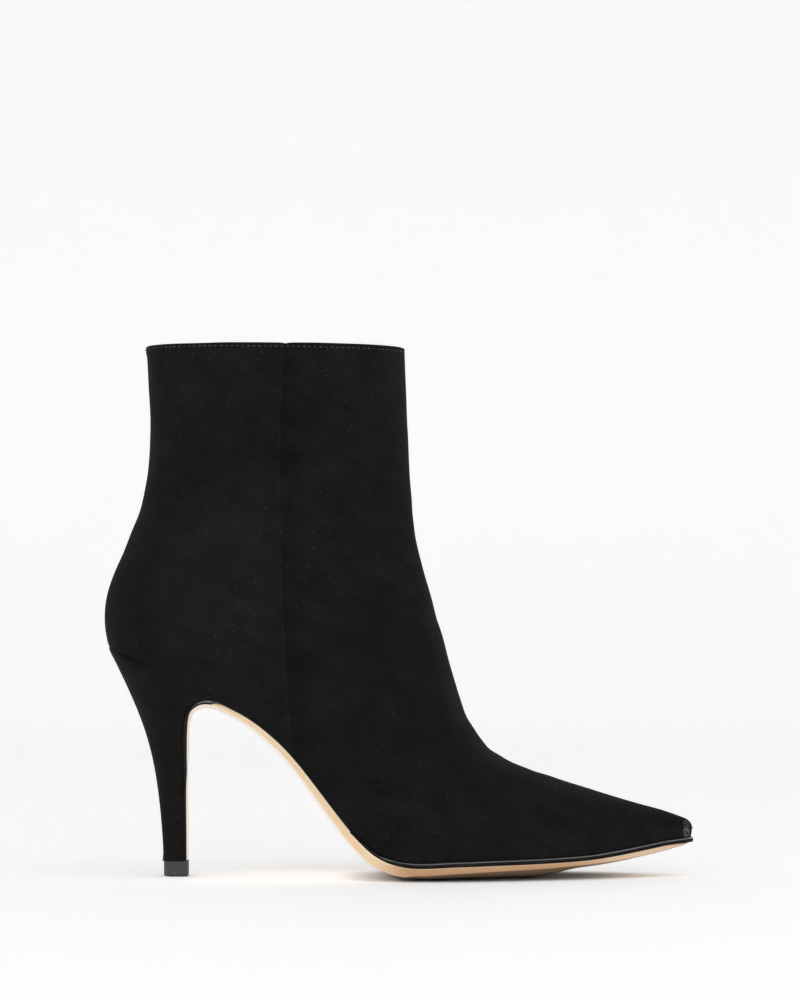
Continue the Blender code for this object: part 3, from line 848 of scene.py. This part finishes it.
# Top piece
# A small hard rubber tip, held under the end of the heel by a steel pin. Its sides are cut flush
# and left matte.
TIP_GREY = (0.052, 0.052, 0.054, 1)
TIP_SCUFFED = (0.078, 0.077, 0.076, 1)
TIP_BEND = 40
TIP_EDGE = 0.4 * MM
TIP_STREAK = (0.4 * MM, 0.4 * MM, 2.5 * MM)
TIP_PATCH = 2.2 * MM
rubber, rubber_shader, place = new_finish("tip_rubber", {"Specular IOR Level": 0.4})
tip_marks = clouds(place, TIP_STREAK, 3.0)
tip_scuffs = clouds(place, even(TIP_PATCH), 3.0).rise(0.5, 0.8)
place.feed(rubber_shader, {
    "Base Color": tip_scuffs.tint(TIP_GREY, TIP_SCUFFED),
    "Roughness": 0.55 + 0.2 * tip_marks,
    "Normal": tip_marks.relief(0.04 * MM),
})
tip_shape = solid_copy("top_piece")
reach_out(tip_shape, Vector((0, 0, 1)), SEAT_GAP)
round_edges(tip_shape, sharp_edges(tip_shape, TIP_BEND), TIP_EDGE)
divide(tip_shape, 2)
tip = add_piece("rubber_tip", tip_shape, rubber)
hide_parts("top_piece")
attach(tip, "root")

# Studio
# A round tent of white cloth, flat under the boot and turned up all round, so that no line shows
# where the floor ends. The cloth glows with painted light, as if lit from behind, less so high up,
# and its glow is cut close under the sole, which paints a contact shadow there. A strip light
# overhead draws the gloss along the welt, and a soft box stands beside the camera.
FLOOR_RADIUS = 2.2
TURN_RADIUS = 1.0
TURN_STEPS = 10
WALL_HEIGHT = 1.6
TENT_STEPS = 64
CLOTH_WHITE = (0.93, 0.93, 0.93, 1)
CLOTH_SHADE = (0.92, 0.92, 0.92, 1)
CLOTH_WEAVE = 60 * MM
CLOTH_GLOW = 0.346
GLOW_NONE = (0, 0, 0, 1)
GLOW_FULL = (1, 1, 1, 1)
GLOW_DIMMED = (0.76, 0.76, 0.76, 1)
DIMS_FROM = 0.25
DIMS_TO = 1.05
SHADE_REACH = 0.015
SHADE_FADES = (0.15, 0.9)
SHADE_SAMPLES = 8
SKY_LIGHT = 0.32
Lamp = namedtuple("Lamp", "name place size_x size_y power")
LAMPS = [
    Lamp("strip_light", place=Vector((0.0, -0.25, 1.3)), size_x=1.4, size_y=0.12, power=2.3),
    Lamp("soft_box", place=Vector((0.3, -2.0, 0.9)), size_x=1.6, size_y=1.0, power=4.0),
]
cloth, cloth_shader, place = new_finish("white_cloth", {
    "Specular IOR Level": 0.1,
    "Emission Strength": CLOTH_GLOW,
})
cloth_tone = clouds(place, even(CLOTH_WEAVE), 3.0)
dimmed = place.node("ShaderNodeSeparateXYZ", {}, {0: place}, "Z").rise(DIMS_FROM, DIMS_TO)
free_above = place.node(
    "ShaderNodeAmbientOcclusion", {"samples": SHADE_SAMPLES}, {"Distance": SHADE_REACH}, "AO"
)
# The cloth's glow is painted light; it fades to nothing where the sole is close above, which paints
# a contact shadow.
glow_with_contact_shadow = free_above.rise(*SHADE_FADES).tint(GLOW_NONE, dimmed.tint(GLOW_FULL, GLOW_DIMMED))
place.feed(cloth_shader, {
    "Base Color": cloth_tone.tint(CLOTH_WHITE, CLOTH_SHADE),
    "Roughness": 0.85 + 0.1 * cloth_tone,
    "Emission Color": glow_with_contact_shadow,
})
tent_shape = bmesh.new()
turns = [math.pi / 2 * step / TURN_STEPS for step in range(TURN_STEPS + 1)]
tent_line = [(0, 0)]
tent_line += [
    (FLOOR_RADIUS + TURN_RADIUS * math.sin(turn), TURN_RADIUS * (1 - math.cos(turn)))
    for turn in turns
]
tent_line.append((FLOOR_RADIUS + TURN_RADIUS, TURN_RADIUS + WALL_HEIGHT))
corners = [tent_shape.verts.new((out, 0, up)) for out, up in tent_line]
lines = [tent_shape.edges.new(pair) for pair in zip(corners, corners[1:])]
bmesh.ops.spin(
    tent_shape, geom=corners + lines, cent=(0, 0, 0), axis=(0, 0, 1), angle=2 * math.pi,
    steps=TENT_STEPS, use_merge=True,
)
bmesh.ops.remove_doubles(tent_shape, verts=tent_shape.verts, dist=WELD_WITHIN)
bmesh.ops.recalc_face_normals(tent_shape, faces=tent_shape.faces)
tent = add_piece("light_tent", tent_shape, cloth)

sky = bpy.data.worlds.new("even_light")
bpy.context.scene.world = sky
sky.use_nodes = True
sky_light = sky.node_tree.nodes["Background"]
sky_light.inputs["Color"].default_value = (1, 1, 1, 1)
sky_light.inputs["Strength"].default_value = SKY_LIGHT
for lamp in LAMPS:
    light = bpy.data.lights.new(lamp.name, "AREA")
    light.shape = "RECTANGLE"
    light.size = lamp.size_x
    light.size_y = lamp.size_y
    light.energy = lamp.power
    holder = bpy.data.objects.new(lamp.name, light)
    holder.location = lamp.place
    holder.rotation_euler = (-lamp.place).to_track_quat("-Z", "Y").to_euler()
    bpy.context.scene.collection.objects.link(holder)
bpy.context.scene.view_settings.view_transform = "Standard"

# Camera
# It stands level with the middle of the boot, to its outer side. Its picture is shifted up, so
# that the boot sits low in it and its upright lines stay upright.
EYE = Vector((0.0003, -1.400, 0.110))
VIEW_HEIGHT = 0.419
SHIFT_UP = 0.1135
camera_data = bpy.data.cameras.new("camera")
camera_data.lens = camera_data.sensor_width * -EYE.y / VIEW_HEIGHT
camera_data.shift_y = SHIFT_UP
camera = bpy.data.objects.new("camera", camera_data)
camera.location = EYE
camera.rotation_euler = (math.pi / 2, 0, 0)
bpy.context.scene.collection.objects.link(camera)
bpy.context.scene.camera = camera
